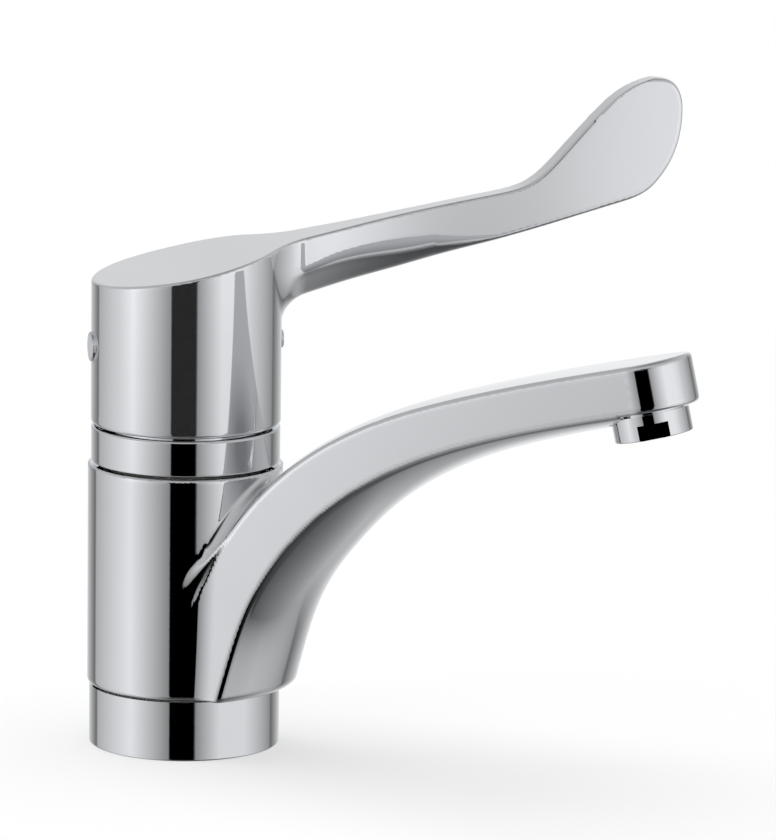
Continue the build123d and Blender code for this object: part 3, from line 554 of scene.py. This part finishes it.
finishes = {
    "chrome": new_finish("chrome", (0.9, 0.91, 0.925), 1, 0.02, 0.03, 900, 0.02),
    "hazy_chrome": new_finish("hazy_chrome", (0.9, 0.91, 0.925), 0.96, 0.025, 0.035, 900, 0.02),
    "brass": new_finish("brass", (0.83, 0.62, 0.31), 1, 0.22, 0.16, 700, 0.25),
    "steel": new_finish("steel", (0.66, 0.66, 0.65), 1, 0.18, 0.14, 1100, 0.2),
    "seal_rubber": new_finish("seal_rubber", (0.018, 0.018, 0.02), 0, 0.5, 0.2, 1500, 0.3),
    "bearing_plastic": new_finish("bearing_plastic", (0.72, 0.71, 0.66), 0, 0.38, 0.15, 900, 0.2),
    "cartridge_plastic": new_finish("cartridge_plastic", (0.16, 0.2, 0.24), 0, 0.36, 0.16, 900, 0.25),
    "aerator_plastic": new_finish("aerator_plastic", (0.3, 0.31, 0.32), 0, 0.35, 0.15, 1000, 0.2),
}
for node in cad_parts.values():
    for slot in node.material_slots:
        slot.material = finishes[slot.material.name]

# The two cast pieces

SPOUT_STEP = 0.72
HANDLE_STEP = 0.6
SPOUT_TURN = math.radians(-40)
coarser = 1
spout = cast_piece(
    "spout_casting",
    spout_field,
    (-30, -30, 16),
    (168, 30, 131),
    SPOUT_STEP * coarser,
    SPOUT_TURN,
    finishes["chrome"],
)
handle = cast_piece(
    "handle_casting",
    handle_field,
    (-29, -29, 92),
    (149, 29, 193),
    HANDLE_STEP * coarser,
    0,
    finishes["hazy_chrome"],
)
for piece, node in ((spout, "spout"), (handle, "handle")):
    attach(piece, node)
    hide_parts(node)

# Studio: its ground plan is turned 12 degrees from the lever's square view

STUDIO_TURN = math.radians(-12)


def in_studio(x, y, z):
    """A place in the part's frame, from metres to the right of, behind and above the tap's foot as seen."""
    return Matrix.Rotation(STUDIO_TURN, 3, "Z") @ Vector((x, y, z))


# Floor: pale and plain, lit evenly, left out of the chrome's reflections

FLOOR_GLOW_START = 0.15
FLOOR_GLOW_END = 0.7
FLOOR_GLOW_LEAST = 0.65
floor_mesh = bpy.data.meshes.new("floor")
floor_corners = ((-6, -3), (6, -3), (6, 9), (-6, 9))
floor_mesh.from_pydata([in_studio(x, y, 0) for x, y in floor_corners], [], [(0, 1, 2, 3)])
floor = bpy.data.objects.new("floor", floor_mesh)
bpy.context.collection.objects.link(floor)
paper = bpy.data.materials.new("paper")
paper.use_nodes = True
tree = paper.node_tree
matte = tree.nodes["Principled BSDF"]
matte.inputs["Base Color"].default_value = (0.9, 0.9, 0.9, 1)
matte.inputs["Roughness"].default_value = 0.9
matte.inputs["Specular IOR Level"].default_value = 0
glowing = tree.nodes.new("ShaderNodeEmission")
place = tree.nodes.new("ShaderNodeTexCoord")
distance = tree.nodes.new("ShaderNodeVectorMath")
distance.operation = "LENGTH"
share = tree.nodes.new("ShaderNodeMapRange")
share.inputs["From Min"].default_value = FLOOR_GLOW_START
share.inputs["From Max"].default_value = FLOOR_GLOW_END
share.inputs["To Min"].default_value = FLOOR_GLOW_LEAST
blend = tree.nodes.new("ShaderNodeMixShader")
tree.links.new(place.outputs["Object"], distance.inputs[0])
tree.links.new(distance.outputs["Value"], share.inputs["Value"])
tree.links.new(share.outputs["Result"], blend.inputs["Fac"])
tree.links.new(matte.outputs["BSDF"], blend.inputs[1])
tree.links.new(glowing.outputs["Emission"], blend.inputs[2])
tree.links.new(blend.outputs["Shader"], tree.nodes["Material Output"].inputs["Surface"])
floor_mesh.materials.append(paper)
floor.visible_glossy = False

overhead = bpy.data.lights.new("overhead", "AREA")
overhead.shape = "DISK"
overhead.size = 2.4
overhead.energy = 62
overhead_object = bpy.data.objects.new("overhead", overhead)
overhead_object.location = in_studio(0, 0.2, 2.2)
overhead_object.visible_glossy = False
bpy.context.collection.objects.link(overhead_object)

# Soft light by direction: two screens with a dark gap at the camera, a wall behind, a bounce from below
# and a grey ceiling. A zone has a height in degrees, and strengths at turns in degrees from straight at the
# camera, rising to the right.

GAP_LEFT = -16
GAP_RIGHT = 14
SCREEN_END = 128
DARK_LINE = 132
EDGE_LIGHT = 0.25
LEFT_LIGHT = 0.85
RIGHT_LIGHT = 0.75
BACK_LIGHT = 0.9
MATTE_LIGHT = 0.12
SCREENS = (
    (-180, BACK_LIGHT),
    (-DARK_LINE, 0.15),
    (-SCREEN_END, 0.45),
    (-65, LEFT_LIGHT),
    (GAP_LEFT - 0.3, EDGE_LIGHT),
    (GAP_LEFT, 0.0),
    (GAP_RIGHT, 0.0),
    (GAP_RIGHT + 0.3, EDGE_LIGHT),
    (45, RIGHT_LIGHT),
    (80, RIGHT_LIGHT),
    (SCREEN_END, 0.3),
    (DARK_LINE, 0.15),
    (180, BACK_LIGHT),
)
BOUNCE = ((-180, 0.35), (-60, 0.7), (-20, 0.05), (40, 0.05), (150, 0.5), (180, 0.35))


def even(strength):
    """The same strength all round."""
    return ((-180, strength), (180, strength))


LIGHT_ZONES = (
    (-85, even(0.1)),
    (-45, BOUNCE),
    (-27, SCREENS),
    (5, SCREENS),
    (25, even(0.5)),
    (50, even(0.45)),
    (80, even(0.2)),
)


def computed(tree, operation, *inputs):
    """A math node's output, from links and plain values."""
    node = tree.nodes.new("ShaderNodeMath")
    node.operation = operation
    for socket, value in zip(node.inputs, inputs):
        if isinstance(value, (int, float)):
            socket.default_value = value
        else:
            tree.links.new(value, socket)
    return node.outputs["Value"]


def chosen(tree, share, first, second):
    """A colour between two, from links and plain values."""
    node = tree.nodes.new("ShaderNodeMix")
    node.data_type = "RGBA"
    tree.links.new(share, node.inputs["Factor"])
    for name, value in (("A", first), ("B", second)):
        if isinstance(value, float):
            node.inputs[name].default_value = (value, value, value, 1)
        else:
            tree.links.new(value, node.inputs[name])
    return node.outputs["Result"]


def ring_ramp(tree, turn_share, stops):
    """The strengths round one ring as a colour ramp, a trace cool."""
    node = tree.nodes.new("ShaderNodeValToRGB")
    while len(node.color_ramp.elements) < len(stops):
        node.color_ramp.elements.new(0.5)
    for element, (turn, value) in zip(node.color_ramp.elements, stops):
        element.position = turn / 360 + 0.5
        element.color = (value * 0.99, value, value * 1.015, 1)
    tree.links.new(turn_share, node.inputs["Fac"])
    return node.outputs["Color"]


def turn_and_rise(tree, coordinate):
    """How far round the tap a place or a direction lies, as a share of a turn, and how high."""
    place = tree.nodes.new("ShaderNodeTexCoord")
    square = tree.nodes.new("ShaderNodeVectorRotate")
    square.rotation_type = "Z_AXIS"
    square.inputs["Angle"].default_value = -STUDIO_TURN
    split = tree.nodes.new("ShaderNodeSeparateXYZ")
    tree.links.new(place.outputs[coordinate], square.inputs["Vector"])
    tree.links.new(square.outputs["Vector"], split.inputs["Vector"])
    turn = computed(tree, "ARCTAN2", split.outputs["X"], computed(tree, "MULTIPLY", split.outputs["Y"], -1))
    turn_share = computed(tree, "ADD", computed(tree, "DIVIDE", turn, 2 * math.pi), 0.5)
    return turn_share, split.outputs["Z"]


def faded(tree, source, stops):
    """A strength that follows places along a source, straight between them."""
    parts = []
    for (start, first), (end, last) in zip(stops, stops[1:]):
        part = tree.nodes.new("ShaderNodeMapRange")
        part.inputs["From Min"].default_value = start
        part.inputs["From Max"].default_value = end
        part.inputs["To Max"].default_value = last - first
        tree.links.new(source, part.inputs["Value"])
        parts.append(part.outputs["Result"])
    total = stops[0][1]
    for part in parts:
        total = computed(tree, "ADD", total, part)
    return total


# Two screens stand near the tap with a dark gap between them, so that the gap's reflection shifts along
# the lever and the spout. They fade into the light round them.

SCREEN_REACH = 1.0
SCREEN_LOW = -0.62
SCREEN_HIGH = 0.5
SCREEN_STRENGTHS = ((-0.12, 1), (0.0, 1.2))
SCREEN_HEIGHTS = ((SCREEN_LOW, 0), (-0.44, 1), (0.2, 1), (SCREEN_HIGH, 0))
SCREEN_SIDES = ((0.265, 0), (0.32, 1), (0.68, 1), (0.735, 0))
screen_mesh = bpy.data.meshes.new("screens")
screen_turns = [math.radians(turn) for turn in range(-85, 86, 2)]
screen_mesh.from_pydata(
    [
        in_studio(math.sin(turn) * SCREEN_REACH, -math.cos(turn) * SCREEN_REACH, height)
        for turn in screen_turns
        for height in (SCREEN_LOW, SCREEN_HIGH)
    ],
    [],
    [(2 * i, 2 * i + 2, 2 * i + 3, 2 * i + 1) for i in range(len(screen_turns) - 1)],
)
screens = bpy.data.objects.new("screens", screen_mesh)
bpy.context.collection.objects.link(screens)
cloth = bpy.data.materials.new("screens")
cloth.use_nodes = True
tree = cloth.node_tree
tree.nodes.remove(tree.nodes["Principled BSDF"])
turn_share, height = turn_and_rise(tree, "Object")
lit = tree.nodes.new("ShaderNodeEmission")
tree.links.new(ring_ramp(tree, turn_share, SCREENS), lit.inputs["Color"])
tree.links.new(faded(tree, height, SCREEN_STRENGTHS), lit.inputs["Strength"])
clear = tree.nodes.new("ShaderNodeBsdfTransparent")
cover = tree.nodes.new("ShaderNodeMixShader")
upright = faded(tree, height, SCREEN_HEIGHTS)
around = faded(tree, turn_share, SCREEN_SIDES)
tree.links.new(computed(tree, "MULTIPLY", upright, around), cover.inputs["Fac"])
tree.links.new(clear.outputs["BSDF"], cover.inputs[1])
tree.links.new(lit.outputs["Emission"], cover.inputs[2])
tree.links.new(cover.outputs["Shader"], tree.nodes["Material Output"].inputs["Surface"])
screen_mesh.materials.append(cloth)
screens.visible_camera = False
screens.visible_diffuse = False
screens.visible_shadow = False

world = bpy.data.worlds.new("studio")
bpy.context.scene.world = world
world.use_nodes = True
tree = world.node_tree
turn_share, rise = turn_and_rise(tree, "Generated")
height = computed(tree, "DEGREES", computed(tree, "ARCSINE", rise))
light = ring_ramp(tree, turn_share, LIGHT_ZONES[0][1])
for (below, _), (above, stops) in zip(LIGHT_ZONES, LIGHT_ZONES[1:]):
    share = tree.nodes.new("ShaderNodeMapRange")
    share.inputs["From Min"].default_value = below
    share.inputs["From Max"].default_value = above
    tree.links.new(height, share.inputs["Value"])
    light = chosen(tree, share.outputs["Result"], light, ring_ramp(tree, turn_share, stops))
rays = tree.nodes.new("ShaderNodeLightPath")
light = chosen(tree, rays.outputs["Is Glossy Ray"], MATTE_LIGHT, light)
light = chosen(tree, rays.outputs["Is Camera Ray"], light, 1.0)
tree.links.new(light, tree.nodes["Background"].inputs["Color"])

# Camera, as found from the picture's ellipses and heights

FOCAL_LENGTH = 6963.28
PICTURE_HEIGHT = 840
SENSOR = 36
CAMERA_DISTANCE = 2.0
CAMERA_PITCH = math.radians(10.949)
CAMERA_ROLL = math.radians(0.665)
CAMERA_AIM = (0.05805, 0, 0.09491)
camera = bpy.data.cameras.new("camera")
camera.lens = SENSOR * FOCAL_LENGTH / PICTURE_HEIGHT
camera.sensor_width = SENSOR
camera.clip_end = 50
camera_object = bpy.data.objects.new("camera", camera)
bpy.context.collection.objects.link(camera_object)
back = in_studio(0, -math.cos(CAMERA_PITCH), math.sin(CAMERA_PITCH))
right = in_studio(1, 0, 0)
up = in_studio(0, math.sin(CAMERA_PITCH), math.cos(CAMERA_PITCH))
turned_right = right * math.cos(CAMERA_ROLL) + up * math.sin(CAMERA_ROLL)
turned_up = up * math.cos(CAMERA_ROLL) - right * math.sin(CAMERA_ROLL)
stand = in_studio(*CAMERA_AIM) + back * CAMERA_DISTANCE
axes = Matrix((turned_right, turned_up, back)).transposed()
camera_object.matrix_world = Matrix.Translation(stand) @ axes.to_4x4()
bpy.context.scene.camera = camera_object
bpy.context.scene.view_settings.view_transform = "Standard"
